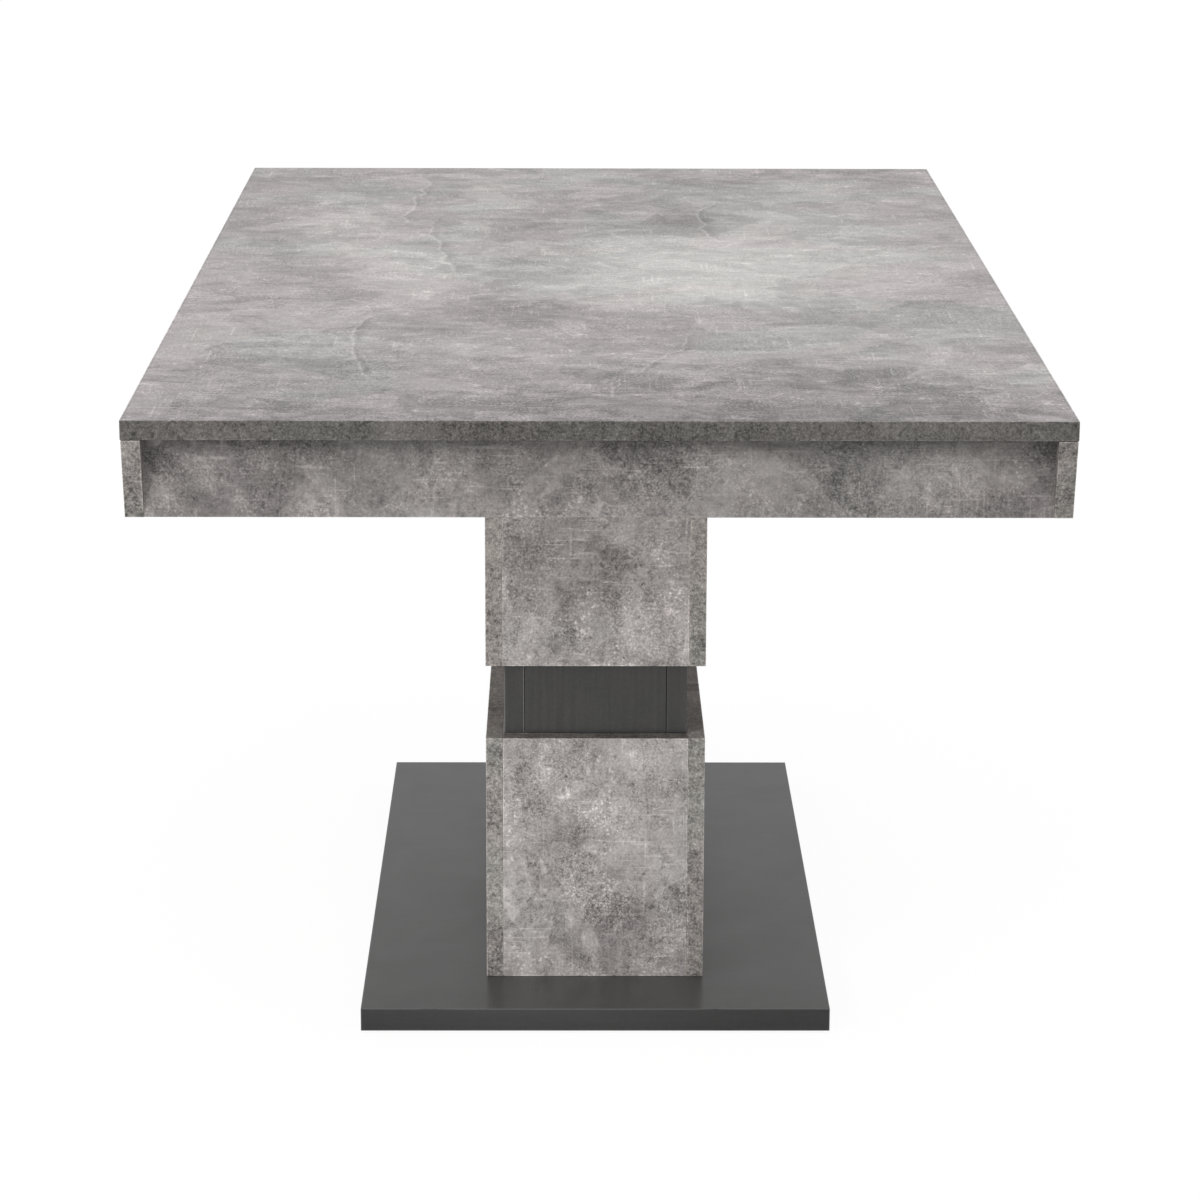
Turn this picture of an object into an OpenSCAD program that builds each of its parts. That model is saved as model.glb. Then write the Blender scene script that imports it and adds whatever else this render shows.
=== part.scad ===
// Extendable dining table on a box column.
// The floor is at z = 0, +Y runs along the table and the column stands on the origin.
// Both halves of the top slide apart over a fixed apron frame, geared together on each side,
// and the insert leaf lies inside the frame, turned a quarter turn, until it is needed.

/* [Table top] */
// Width of the table top
top_w = 900; // [890:10:1000]
// Length of the closed table top
top_l = 1600; // [1560:20:1800]
// Height of the table top above the floor
table_h = 750; // [730:5:780]
// Thickness of the table top and of the insert leaf
top_t = 19; // [18:1:22]
// Thickness of the edge bands
band_t = 2; // [1:0.5:3]
// Gap between the two halves of the closed top
seam_gap = 0.4; // [0.3:0.1:1]

/* [Extension] */
// Length that the insert leaf adds to the table
leaf_add = 400; // [340:10:400]
// Number of teeth on each pinion, an even number
pinion_teeth = 16; // [14:2:16]
// Module of the pinion and rack teeth
gear_module = 2; // [1.75:0.25:2]
// Backlash between a tooth and its gap
backlash = 0.8; // [0.7:0.1:1]

/* [Apron frame] */
// Height of the apron below the table top
apron_h = 79; // [78:1:100]
// Thickness of the apron and column boards
board_t = 18; // [16:1:19]
// Depth of the finger grip under each end of the top
grip_depth = 20; // [15:1:35]
// Thickness of the carrier board on top of the column
carrier_t = 22; // [20:1:24]

/* [Column] */
// Width of the column blocks
column_w = 237; // [226:1:260]
// Depth of the column blocks along the table
column_d = 690; // [640:10:760]
// Height of the lower block's top above the floor
lower_top = 301; // [260:1:340]
// Height of the upper block's underside above the floor
upper_bottom = 382; // [360:1:440]
// Ledge on each side of the dark core
ledge_side = 19.5; // [18:0.5:26]
// Ledge in front of and behind the dark core
ledge_end = 17.5; // [16:0.5:26]
// Thickness of the core's side boards
core_t = 22; // [18:1:25]

/* [Base] */
// Width of the base plate
base_w = 504; // [460:4:560]
// Length of the base plate
base_l = 890; // [840:10:960]
// Thickness of the base plate
base_t = 25; // [22:1:30]
// Height of the glides under the base plate
glide_h = 3; // [2:0.5:5]

/* [Hidden] */

$fn = 48;

// Colours
CONCRETE = [0.62, 0.61, 0.59];
CONCRETE_EDGE = [0.50, 0.50, 0.48];
ANTHRACITE = [0.24, 0.24, 0.24];
CHIPBOARD = [0.72, 0.62, 0.48];
BEECH = [0.80, 0.62, 0.42];
STEEL = [0.72, 0.73, 0.74];
ALUMINIUM = [0.80, 0.81, 0.82];
NYLON = [0.90, 0.89, 0.84];
BLACK = [0.10, 0.10, 0.10];

// Heights above the floor
slab_z = table_h - top_t;
slide_gap = 0.6;
apron_top = slab_z - slide_gap;
apron_z = slab_z - apron_h;
carrier_top = apron_z + carrier_t;
base_top = glide_h + base_t;

// Plan of the top and the apron frame
half_l = top_l / 2;
half_w = top_w / 2;
apron_inset = 0.6;
apron_x = half_w - apron_inset;
apron_in = apron_x - board_t;
panel_y = half_l - grip_depth;
carrier_y = half_w + 10;
carrier_rebate = 8;
block_leg = 50;
block_h = 50;
block_lift = 4;

// Plan of the column and its core
inner_w = column_w - 2 * board_t;
inner_d = column_d - 2 * board_t;
core_w = column_w - 2 * ledge_side;
core_d = column_d - 2 * ledge_end;
core_groove = 0.6;

// Tie rods that pull base, column and carrier together
rod_r = 4;
rod_hole_r = 4.5;
rod_x = 55;
rod_y = column_d / 2 - 95;
rod_end = 1;
sink_r = 13;
sink_depth = 10;
nut_flange_r = 9;
nut_flange_h = 1.5;
nut_flats = 13;
nut_h = 6.5;
fit = 0.05;

// Glides
glide_r = 20;
glide_peg_r = 4;
glide_peg_h = 12;
glide_inset = 42;
pad_r = 6;
pad_depth = 5;
pad_proud = 0.3;
pad_y = [80, 330, 700];

// Rack, pinion and runner set, measured from the pinion's axis
pressure = 20;
pitch_r = gear_module * pinion_teeth / 2;
pitch = PI * gear_module;
tooth_add = gear_module;
tooth_ded = 1.25 * gear_module;
tooth_t = (pitch - backlash) / 2;
base_r = pitch_r * cos(pressure);
tip_r = pitch_r + tooth_add;
root_r = pitch_r - tooth_ded;
flank_steps = 4;
flank_r = concat(
    [root_r],
    [for (i = [0:flank_steps]) base_r + (tip_r - base_r) * i / flank_steps]
);
travel = leaf_add / 2;
first_tooth = -ceil(travel / pitch) - 2;
last_tooth = 1;
rack_back = 4;
rack_h = 12;
rack_z = slab_z - 31;
web_w = 12;
foot_w = 24;
foot_h = 8;
run_gap = 0.5;
runner_x = pitch_r + tooth_ded + rack_back + web_w / 2;
runner_out = 480;
runner_in = travel + 40;
runner_relief = 2;
runner_relief_y = 4;

// Guide rail
rail_wall = 2.5;
rail_base = 3;
lip_t = 3;
rail_half_w = runner_x + foot_w / 2 + run_gap + rail_wall;
rail_side_gap = 14;
pinion_x = apron_in - rail_side_gap - rail_half_w;
foot_z = carrier_top + rail_base + run_gap;
lip_z = foot_z + foot_h + run_gap;
rail_top = lip_z + lip_t;
rail_screw_y = [120, 290, 430];
stop_l = 10;
stop_h = 10;
lug_l = 8;
lug_w = 7;
lug_gap = 0.5;
stop_y = runner_in - travel - lug_l - lug_gap;

// Pinion axle
axle_r = 4;
axle_shoulder_r = 7;
axle_spigot_r = 5;
axle_spigot_h = 12;
axle_flange_r = 8;
axle_flange_h = 3;
axle_clip_h = 1.2;
pinion_hub_r = 9;
pinion_hub_h = 16;
pinion_face = rack_h - 2;
axial_gap = 0.3;

// Dowels and their sockets
dowel_r = 4;
dowel_pitch = 300;
dowel_out = 12;
dowel_in = 24;
socket_r = 4.4;
socket_depth = 14;
dowel_at = [-dowel_pitch, 0, dowel_pitch];
top_mid_z = (slab_z + table_h) / 2;

// Insert leaf, stored on the carrier board with its long edges along the table
leaf_x = leaf_add / 2;
leaf_end = half_w - band_t;
leaf_mid_z = carrier_top + top_t / 2;

// Screws: shank radius, head radius, head height
screw_r = 1.75;
screw_head_r = 4;
screw_head_h = 2;
screw_l = 12;
rail_screw_r = 2.5;
rail_screw_head_r = 4.5;
rail_screw_l = 14;

// Runner clips
clip_t = 2;
clip_leg = 18;
clip_drop = 25;
clip_w = 30;
clip_y = [90, 270, 450];
clip_screw_x = 12;
clip_screw_z = slab_z - 16;

// Latches
latch_x = leaf_add / 2 + 50;
pivot_y = -26;
keeper_y = 22;
latch_r = keeper_y - pivot_y;
stud_r = 4;
stud_head_r = 7.5;
stud_head_h = 2.5;
stud_collar_r = 7;
lever_t = 3;
lever_z = slab_z - 7.5;
lever_w = 14;
lever_hub_r = 10;
lever_head_r = 13;
lever_tail = 18;
lever_tail_r = 9;
hook_slot_r = 5.6;
knob_r = 8;
knob_h = 18;
knob_waist = 1.2;
knob_rim_h = 5;
plate_t = 2;
plate_w = 30;
plate_l = 34;
plate_front = 18;
plate_screw_x = 11;
plate_screw_y = 8;

// Hand opening in the carrier board below each latch
reach_in = leaf_add / 2 + 16;
reach_out = pinion_x - rail_half_w - 6;
reach_y = 62;

// ---- Helpers ----

// A board given by its low and high limits along each axis
module span(x, y, z)
    translate([x[0], y[0], z[0]])
        cube([x[1] - x[0], y[1] - y[0], z[1] - z[0]]);

// A copy on the left of what is drawn on the right
module left() mirror([1, 0, 0]) children();

// A copy at the front of what is drawn at the rear
module front() mirror([0, 1, 0]) children();

// Both sides at once
module both_sides() {
    children();
    left() children();
}

// Both ends at once
module both_ends() {
    children();
    front() children();
}

// The front half's running gear is the rear half's turned about the pinion's axis
module turned()
    translate([pinion_x, 0, 0])
        rotate([0, 0, 180])
            translate([-pinion_x, 0, 0]) children();

// An upright cylinder between two heights
module post(r, z0, z1)
    translate([0, 0, z0])
        cylinder(r = r, h = z1 - z0);

// ---- Column ----

module at_tie_rods()
    for (x = [-rod_x, rod_x], y = [-rod_y, rod_y])
        translate([x, y, 0]) children();

// Clearance holes for the tie rods between two heights
module rod_holes(z0, z1) at_tie_rods() post(rod_hole_r, z0 - 1, z1 + 1);

module at_glides()
    both_sides()
        for (y = [-1, 0, 1])
            translate([base_w / 2 - glide_inset, y * (base_l / 2 - glide_inset), 0])
                children();

module base_plate() color(ANTHRACITE)
    difference() {
        span([-base_w / 2, base_w / 2], [-base_l / 2, base_l / 2], [glide_h, base_top]);
        rod_holes(glide_h, base_top);
        at_tie_rods() post(sink_r, glide_h - 1, glide_h + sink_depth);
        at_glides() post(glide_peg_r + fit, glide_h - 1, glide_h + glide_peg_h);
    }

module floor_glides() color(BLACK)
    at_glides() {
        post(glide_r, 0, glide_h);
        post(glide_peg_r, 0, glide_h + glide_peg_h - 1);
    }

// Long side board of a column block, on the right
module block_side(z0, z1) color(CONCRETE)
    span([inner_w / 2, column_w / 2], [-column_d / 2, column_d / 2], [z0, z1]);

// Narrow end board of a column block, at the rear
module block_end(z0, z1) color(CONCRETE)
    span([-inner_w / 2, inner_w / 2], [inner_d / 2, column_d / 2], [z0, z1]);

// Board inside a column block, across the tie rods
module block_floor(z0) color(CONCRETE)
    difference() {
        span([-inner_w / 2, inner_w / 2], [-inner_d / 2, inner_d / 2], [z0, z0 + board_t]);
        rod_holes(z0, z0 + board_t);
    }

module lower_block_right_board() block_side(base_top, lower_top);
module lower_block_left_board() left() block_side(base_top, lower_top);
module lower_block_rear_board() block_end(base_top, lower_top);
module lower_block_front_board() front() block_end(base_top, lower_top);
module lower_block_bottom_board() block_floor(base_top);
module lower_block_top_board() block_floor(lower_top - board_t);

module upper_block_right_board() block_side(upper_bottom, apron_z);
module upper_block_left_board() left() block_side(upper_bottom, apron_z);
module upper_block_rear_board() block_end(upper_bottom, apron_z);
module upper_block_front_board() front() block_end(upper_bottom, apron_z);
module upper_block_bottom_board() block_floor(upper_bottom);
module upper_block_top_board() block_floor(apron_z - board_t);

// The core's side boards run the full depth and the end panels sit between them
module core_right_board() color(ANTHRACITE)
    span([core_w / 2 - core_t, core_w / 2], [-core_d / 2, core_d / 2], [lower_top, upper_bottom]);
module core_left_board() left() core_right_board();

module core_rear_panel() color(ANTHRACITE) {
    panel_w = core_w / 2 - core_t - core_groove;
    span([-panel_w, panel_w], [core_d / 2 - board_t, core_d / 2 - core_groove],
         [lower_top, upper_bottom]);
}
module core_front_panel() front() core_rear_panel();

module tie_rods() color(STEEL)
    at_tie_rods() post(rod_r, glide_h + rod_end, carrier_top - rod_end);

// A hexagon nut with a round flange, seated with the flange at z = 0 and the hexagon below
module flange_nut()
    difference() {
        union() {
            post(nut_flange_r, -nut_flange_h, 0);
            translate([0, 0, -nut_h])
                cylinder(r = nut_flats / sqrt(3), h = nut_h, $fn = 6);
        }
        post(rod_r + fit, -nut_h - 1, 1);
    }

module tie_rod_flange_nuts() color(STEEL)
    at_tie_rods() {
        translate([0, 0, glide_h + sink_depth]) flange_nut();
        translate([0, 0, carrier_top - sink_depth]) mirror([0, 0, 1]) flange_nut();
    }

// ---- Apron frame ----

module at_rail_screws()
    both_sides()
        both_ends()
            for (y = rail_screw_y)
                translate([pinion_x, y, 0]) children();

module carrier_board() color(CHIPBOARD)
    difference() {
        span([-apron_in - carrier_rebate, apron_in + carrier_rebate], [-carrier_y, carrier_y],
             [apron_z, carrier_top]);
        rod_holes(apron_z, carrier_top);
        at_tie_rods() post(sink_r, carrier_top - sink_depth, carrier_top + 1);
        both_sides()
            span([reach_in, reach_out], [-reach_y, reach_y], [apron_z - 1, carrier_top + 1]);
        at_rail_screws()
            post(rail_screw_r + fit, carrier_top - rail_screw_l, carrier_top + 1);
        both_sides()
            translate([pinion_x, 0, 0])
                post(axle_spigot_r + fit, carrier_top - axle_spigot_h, carrier_top + 1);
    }

module at_pads()
    both_sides()
        both_ends()
            for (y = pad_y)
                translate([apron_x - board_t / 2, y, 0]) children();

// A side board whose ends slant back under the top to make the finger grip
module side_apron_right() color(CONCRETE)
    difference() {
        translate([apron_in, 0, 0])
            rotate([90, 0, 90])
                linear_extrude(height = board_t)
                    polygon([
                        [-half_l, apron_top], [-panel_y, apron_z],
                        [panel_y, apron_z], [half_l, apron_top]
                    ]);
        span([apron_in - 1, apron_in + carrier_rebate], [-carrier_y, carrier_y],
             [apron_z - 1, carrier_top]);
        at_pads() post(pad_r + fit, apron_top - pad_depth, apron_top + 1);
    }
module side_apron_left() left() side_apron_right();

module end_panel_rear() color(CONCRETE)
    span([-apron_in, apron_in], [panel_y - board_t, panel_y], [apron_z, apron_top]);
module end_panel_front() front() end_panel_rear();

// Triangular wooden blocks glued into the four corners of the frame
module corner_blocks() color(BEECH)
    both_sides()
        both_ends()
            translate([apron_in, panel_y - board_t, apron_z + block_lift])
                linear_extrude(height = block_h)
                    polygon([[0, 0], [-block_leg, 0], [0, -block_leg]]);

// Slide buttons let into the top edge of the side aprons
module apron_glides() color(NYLON)
    at_pads() post(pad_r, apron_top - pad_depth, apron_top + pad_proud);

// ---- Guide rails ----

// Half of the rail's section, right of the pinion's axis: a floor, two walls and two lips
module rail_half_profile() {
    wall_in = runner_x - foot_w / 2 - run_gap - rail_wall;
    slot_in = runner_x - web_w / 2 - run_gap;
    slot_out = runner_x + web_w / 2 + run_gap;
    translate([0, carrier_top]) square([rail_half_w, rail_base]);
    translate([wall_in, carrier_top]) square([rail_wall, rail_top - carrier_top]);
    translate([rail_half_w - rail_wall, carrier_top])
        square([rail_wall, rail_top - carrier_top]);
    translate([wall_in, lip_z]) square([slot_in - wall_in, lip_t]);
    translate([slot_out, lip_z]) square([rail_half_w - slot_out, lip_t]);
}

module guide_rail_right() color(ALUMINIUM)
    difference() {
        translate([pinion_x, 0, 0])
            rotate([90, 0, 0])
                linear_extrude(height = 2 * carrier_y, center = true) {
                    rail_half_profile();
                    mirror([1, 0]) rail_half_profile();
                }
        at_rail_screws() post(rail_screw_r + fit, carrier_top - 1, carrier_top + rail_base + 1);
        translate([pinion_x, 0, 0])
            post(axle_spigot_r + fit, carrier_top - 1, carrier_top + rail_base + 1);
    }
module guide_rail_left() left() guide_rail_right();

module guide_rail_screws() color(STEEL)
    at_rail_screws() {
        post(rail_screw_r, carrier_top - rail_screw_l + 1, carrier_top + rail_base + 1);
        post(rail_screw_head_r, carrier_top + rail_base,
             carrier_top + rail_base + screw_head_h);
    }

// Rubber block on the rail's lip that the rear runner's lug meets at full travel
module travel_stop()
    translate([pinion_x, 0, 0])
        span([rail_half_w - lug_w, rail_half_w], [-stop_y, -stop_y + stop_l],
             [rail_top, rail_top + stop_h]);

module travel_stops() color(BLACK)
    both_sides() {
        travel_stop();
        turned() travel_stop();
    }

// ---- Pinions ----

// Involute of an angle, in degrees
function involute(a) = tan(a) * 180 / PI - a;

// Half of the angle that a tooth fills at radius r
function tooth_angle(r) =
    tooth_t / 2 / pitch_r * 180 / PI + involute(pressure)
    - involute(acos(min(1, base_r / r)));

// One flank up and the other down, for every tooth
function pinion_points() = [
    for (tooth = [0:pinion_teeth - 1], side = [-1, 1], i = [0:len(flank_r) - 1])
        let (r = side < 0 ? flank_r[i] : flank_r[len(flank_r) - 1 - i])
        let (a = tooth * 360 / pinion_teeth + side * tooth_angle(r))
        r * [cos(a), sin(a)]
];

module pinion_right() color(NYLON)
    translate([pinion_x, 0, 0])
        difference() {
            union() {
                translate([0, 0, rack_z + 1])
                    linear_extrude(height = pinion_face) polygon(pinion_points());
                post(pinion_hub_r, rack_z - 2, rack_z - 2 + pinion_hub_h);
            }
            post(axle_r + fit, rack_z - 3, rack_z - 1 + pinion_hub_h);
        }
module pinion_left() left() pinion_right();

// Stepped steel pins pressed into the carrier board, with a retaining disc on top
module pinion_axles() color(STEEL)
    both_sides()
        translate([pinion_x, 0, 0]) {
            floor_z = carrier_top + rail_base;
            hub_z = rack_z - 2;
            clip_z = hub_z + pinion_hub_h + axial_gap;
            post(axle_spigot_r, carrier_top - axle_spigot_h + 1, floor_z + 1);
            post(axle_flange_r, floor_z, floor_z + axle_flange_h);
            post(axle_shoulder_r, floor_z, hub_z - axial_gap);
            post(axle_r, floor_z, clip_z + axle_clip_h);
            post(axle_shoulder_r, clip_z, clip_z + axle_clip_h);
        }

// ---- Runners and racks ----

function rack_tooth(y) = [
    [pitch_r + tooth_ded, y - tooth_t / 2 - tooth_ded * tan(pressure)],
    [pitch_r - tooth_add, y - tooth_t / 2 + tooth_add * tan(pressure)],
    [pitch_r - tooth_add, y + tooth_t / 2 - tooth_add * tan(pressure)],
    [pitch_r + tooth_ded, y + tooth_t / 2 + tooth_ded * tan(pressure)]
];

function rack_points() = concat(
    [[pitch_r + tooth_ded + rack_back, first_tooth * pitch],
     [pitch_r + tooth_ded, first_tooth * pitch]],
    [for (k = [first_tooth:last_tooth]) each rack_tooth((k + 0.5) * pitch)],
    [[pitch_r + tooth_ded, (last_tooth + 1) * pitch],
     [pitch_r + tooth_ded + rack_back, (last_tooth + 1) * pitch]]
);

// Rack of the rear half, on the right, with a gap for the pinion's tooth at y = 0
module rack()
    translate([pinion_x, 0, rack_z])
        linear_extrude(height = rack_h) polygon(rack_points());

module racks_rear() color(NYLON) both_sides() rack();
module racks_front() color(NYLON) both_sides() turned() rack();

module at_clips()
    for (y = clip_y)
        translate([pinion_x + runner_x + web_w / 2, y, 0]) children();

// Wooden T-section runner: a foot in the rail, a web up to the top and a stop lug
module runner() color(BEECH)
    difference() {
        translate([pinion_x + runner_x, 0, 0]) {
            web_x = [-web_w / 2, web_w / 2];
            span([-foot_w / 2, foot_w / 2], [-runner_in, runner_out], [foot_z, foot_z + foot_h]);
            span(web_x, [-runner_in, runner_out], [foot_z, slab_z - runner_relief]);
            span(web_x, [runner_relief_y, runner_out], [foot_z, slab_z]);
            span([0, web_w / 2 + lug_w], [-runner_in, -runner_in + lug_l],
                 [rail_top + run_gap, rail_top + stop_h]);
        }
        at_clips() web_screw(screw_r + fit);
    }

module runner_rear_right() runner();
module runner_rear_left() left() runner();
module runner_front_right() turned() runner();
module runner_front_left() left() turned() runner();

// Steel angle that joins a runner's web to the underside of the top
module clip()
    difference() {
        union() {
            span([0, clip_t], [-clip_w / 2, clip_w / 2], [slab_z - clip_drop, slab_z]);
            span([0, clip_leg], [-clip_w / 2, clip_w / 2], [slab_z - clip_t, slab_z]);
        }
        web_screw(screw_r + fit);
        top_screw(screw_r + fit);
    }

// Shank into the web, across the clip
module web_screw(r)
    translate([-screw_l + clip_t, 0, clip_screw_z])
        rotate([0, 90, 0]) cylinder(r = r, h = screw_l + 0.5);

// Shank into the top, up through the clip
module top_screw(r)
    translate([clip_screw_x, 0, 0]) post(r, slab_z - clip_t - 0.5, slab_z - clip_t + screw_l);

module clip_screws() {
    web_screw(screw_r);
    translate([clip_t, 0, clip_screw_z])
        rotate([0, 90, 0]) cylinder(r = screw_head_r, h = screw_head_h);
    top_screw(screw_r);
    translate([clip_screw_x, 0, 0])
        post(screw_head_r, slab_z - clip_t - screw_head_h, slab_z - clip_t);
}

module runner_clips_rear() color(STEEL) both_sides() at_clips() clip();
module runner_clips_front() color(STEEL) both_sides() turned() at_clips() clip();

// ---- Table top ----

module at_plate_screws()
    for (x = [-plate_screw_x, plate_screw_x])
        translate([x, 0, 0]) children();

module at_keepers()
    both_sides() translate([latch_x, keeper_y, 0]) children();

module at_pivots()
    both_sides() translate([latch_x, pivot_y, 0]) children();

module plate_screw(r) post(r, slab_z - plate_t - 0.5, slab_z - plate_t + screw_l);

module plate_screws() {
    plate_screw(screw_r);
    post(screw_head_r, slab_z - plate_t - screw_head_h, slab_z - plate_t);
}

// Half of the top without its bands, at the rear
module half_board()
    span([-half_w + band_t, half_w - band_t], [seam_gap / 2, half_l - band_t],
         [slab_z, table_h]);

module dowel(r, y0, y1, z)
    translate([0, y0, z])
        rotate([-90, 0, 0]) cylinder(r = r, h = y1 - y0);

module at_dowels()
    for (x = dowel_at)
        translate([x, 0, 0]) children();

module top_rear_board() color(CONCRETE)
    difference() {
        half_board();
        at_dowels() dowel(socket_r, -1, socket_depth, top_mid_z);
        both_sides() at_clips() top_screw(screw_r + fit);
        at_keepers()
            translate([0, plate_screw_y, 0]) at_plate_screws() plate_screw(screw_r + fit);
    }

module top_front_board() color(CONCRETE)
    difference() {
        front() half_board();
        at_dowels() dowel(dowel_r + fit, -dowel_in, 1, top_mid_z);
        both_sides() turned() at_clips() top_screw(screw_r + fit);
        at_pivots()
            translate([0, -plate_screw_y, 0]) at_plate_screws() plate_screw(screw_r + fit);
    }

// Bands on the three outer edges of a half
module half_bands() {
    span([-half_w, half_w], [half_l - band_t, half_l], [slab_z, table_h]);
    both_sides()
        span([half_w - band_t, half_w], [seam_gap / 2, half_l - band_t], [slab_z, table_h]);
}

module top_rear_edge_bands() color(CONCRETE_EDGE) half_bands();
module top_front_edge_bands() color(CONCRETE_EDGE) front() half_bands();

module top_dowels() color(BEECH)
    at_dowels() dowel(dowel_r, -dowel_in, dowel_out, top_mid_z);

module top_rear_screws() color(STEEL) {
    both_sides() at_clips() clip_screws();
    at_keepers() translate([0, plate_screw_y, 0]) at_plate_screws() plate_screws();
}

module top_front_screws() color(STEEL) {
    both_sides() turned() at_clips() clip_screws();
    at_pivots() translate([0, -plate_screw_y, 0]) at_plate_screws() plate_screws();
}

// ---- Insert leaf, stored across its working direction ----

// Turns a dowel that runs along Y so that it runs along X at the leaf's long edge
module at_leaf_edge(x) translate([x, 0, 0]) rotate([0, 0, -90]) at_dowels() children();

module insert_leaf() color(CONCRETE)
    difference() {
        span([-leaf_x, leaf_x], [-leaf_end, leaf_end], [carrier_top, carrier_top + top_t]);
        at_leaf_edge(leaf_x) dowel(dowel_r + fit, -dowel_in, 1, leaf_mid_z);
        at_leaf_edge(-leaf_x) dowel(socket_r, -1, socket_depth, leaf_mid_z);
    }

module leaf_edge_bands() color(CONCRETE_EDGE)
    both_ends()
        span([-leaf_x, leaf_x], [leaf_end, half_w], [carrier_top, carrier_top + top_t]);

module leaf_dowels() color(BEECH)
    at_leaf_edge(leaf_x) dowel(dowel_r, -dowel_in, dowel_out, leaf_mid_z);

// ---- Latches between the two halves ----

// Plate under the top, round a stud at the origin, with its screws towards the front
module latch_plate()
    difference() {
        span([-plate_w / 2, plate_w / 2], [plate_front - plate_l, plate_front],
             [slab_z - plate_t, slab_z]);
        translate([0, -plate_screw_y, 0]) at_plate_screws() plate_screw(screw_r + fit);
    }

// Headed stud with a collar: the lever turns between the collar and the head
module latch_stud(top) {
    collar_z = lever_z + lever_t + axial_gap;
    head_top = lever_z - axial_gap;
    post(stud_head_r, head_top - stud_head_h, head_top);
    post(stud_r, head_top - 1, top);
    post(stud_collar_r, collar_z, slab_z - plate_t);
}

module latch_plates() color(STEEL)
    at_pivots()
        difference() {
            latch_plate();
            post(stud_r + fit, slab_z - plate_t - 1, slab_z + 1);
        }

module latch_pivots() color(STEEL) at_pivots() latch_stud(slab_z);

module latch_keepers() color(STEEL)
    at_keepers() {
        front() latch_plate();
        latch_stud(slab_z - plate_t);
    }

// Flat lever that points outwards at rest: a hub, a hook round the stud and a tail for the knob
module latch_lever() color(STEEL)
    translate([latch_x, pivot_y, lever_z])
        linear_extrude(height = lever_t)
            difference() {
                union() {
                    circle(r = lever_hub_r);
                    translate([0, -lever_w / 2]) square([latch_r + lever_tail, lever_w]);
                    translate([latch_r, 0]) circle(r = lever_head_r);
                    translate([latch_r + lever_tail, 0]) circle(r = lever_tail_r);
                }
                circle(r = stud_r + fit);
                translate([latch_r, 0]) circle(r = hook_slot_r);
                translate([latch_r - hook_slot_r, 0])
                    square([2 * hook_slot_r, lever_head_r + 1]);
            }
module latch_lever_right() latch_lever();
module latch_lever_left() left() latch_lever();

// Turned knob below the lever's tail
module latch_knob() color(BLACK)
    translate([latch_x + latch_r + lever_tail, pivot_y, lever_z - knob_h]) {
        post(knob_r, 0, knob_rim_h);
        post(knob_r - knob_waist, 0, knob_h);
        post(knob_r, knob_h - knob_rim_h, knob_h);
    }
module latch_knob_right() latch_knob();
module latch_knob_left() left() latch_knob();

// ---- Parts ----

base_plate();
floor_glides();
lower_block_left_board();
lower_block_right_board();
lower_block_front_board();
lower_block_rear_board();
lower_block_bottom_board();
lower_block_top_board();
core_left_board();
core_right_board();
core_front_panel();
core_rear_panel();
upper_block_left_board();
upper_block_right_board();
upper_block_front_board();
upper_block_rear_board();
upper_block_bottom_board();
upper_block_top_board();
tie_rods();
tie_rod_flange_nuts();
carrier_board();
side_apron_left();
side_apron_right();
end_panel_front();
end_panel_rear();
corner_blocks();
apron_glides();
guide_rail_left();
guide_rail_right();
guide_rail_screws();
travel_stops();
pinion_axles();
pinion_left();
pinion_right();
insert_leaf();
leaf_edge_bands();
leaf_dowels();
top_front_board();
top_front_edge_bands();
top_dowels();
runner_front_left();
runner_front_right();
racks_front();
runner_clips_front();
top_front_screws();
top_rear_board();
top_rear_edge_bands();
runner_rear_left();
runner_rear_right();
racks_rear();
runner_clips_rear();
top_rear_screws();
latch_plates();
latch_pivots();
latch_keepers();
latch_lever_left();
latch_lever_right();
latch_knob_left();
latch_knob_right();
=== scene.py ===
"""Looks of the extendable column dining table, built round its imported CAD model.

Every board and fitting of the CAD model keeps its shape. Most get rounded edges, and each face gets a
procedural material.
"""

import math
from types import SimpleNamespace

import bpy
from mathutils import Matrix, Vector


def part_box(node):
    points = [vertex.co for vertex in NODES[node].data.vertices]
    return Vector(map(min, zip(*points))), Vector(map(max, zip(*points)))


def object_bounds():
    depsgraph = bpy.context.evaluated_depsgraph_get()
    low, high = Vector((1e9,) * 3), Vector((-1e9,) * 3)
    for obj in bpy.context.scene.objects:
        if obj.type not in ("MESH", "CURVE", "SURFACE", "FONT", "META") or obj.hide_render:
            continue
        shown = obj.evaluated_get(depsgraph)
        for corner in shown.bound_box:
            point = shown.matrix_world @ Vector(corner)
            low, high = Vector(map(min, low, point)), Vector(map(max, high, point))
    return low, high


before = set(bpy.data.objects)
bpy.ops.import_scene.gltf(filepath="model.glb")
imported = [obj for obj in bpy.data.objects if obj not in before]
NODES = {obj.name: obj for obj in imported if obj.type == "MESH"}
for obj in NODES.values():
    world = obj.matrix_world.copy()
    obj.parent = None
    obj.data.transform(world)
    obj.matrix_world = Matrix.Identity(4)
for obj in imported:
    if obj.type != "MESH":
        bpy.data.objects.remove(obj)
cad_low, cad_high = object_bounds()

MM = 0.001
AXES = "xyz"


# ---- Short names for shader nodes ----

# How far a step of 1 in seed or shift moves a pattern along X, Y and Z
PATTERN_STEP = (7.31, 3.17, 5.53)

# A Mix node's sockets for two colours and its colour output
MIX_FIRST = 6
MIX_SECOND = 7
MIX_RESULT = 2


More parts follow.
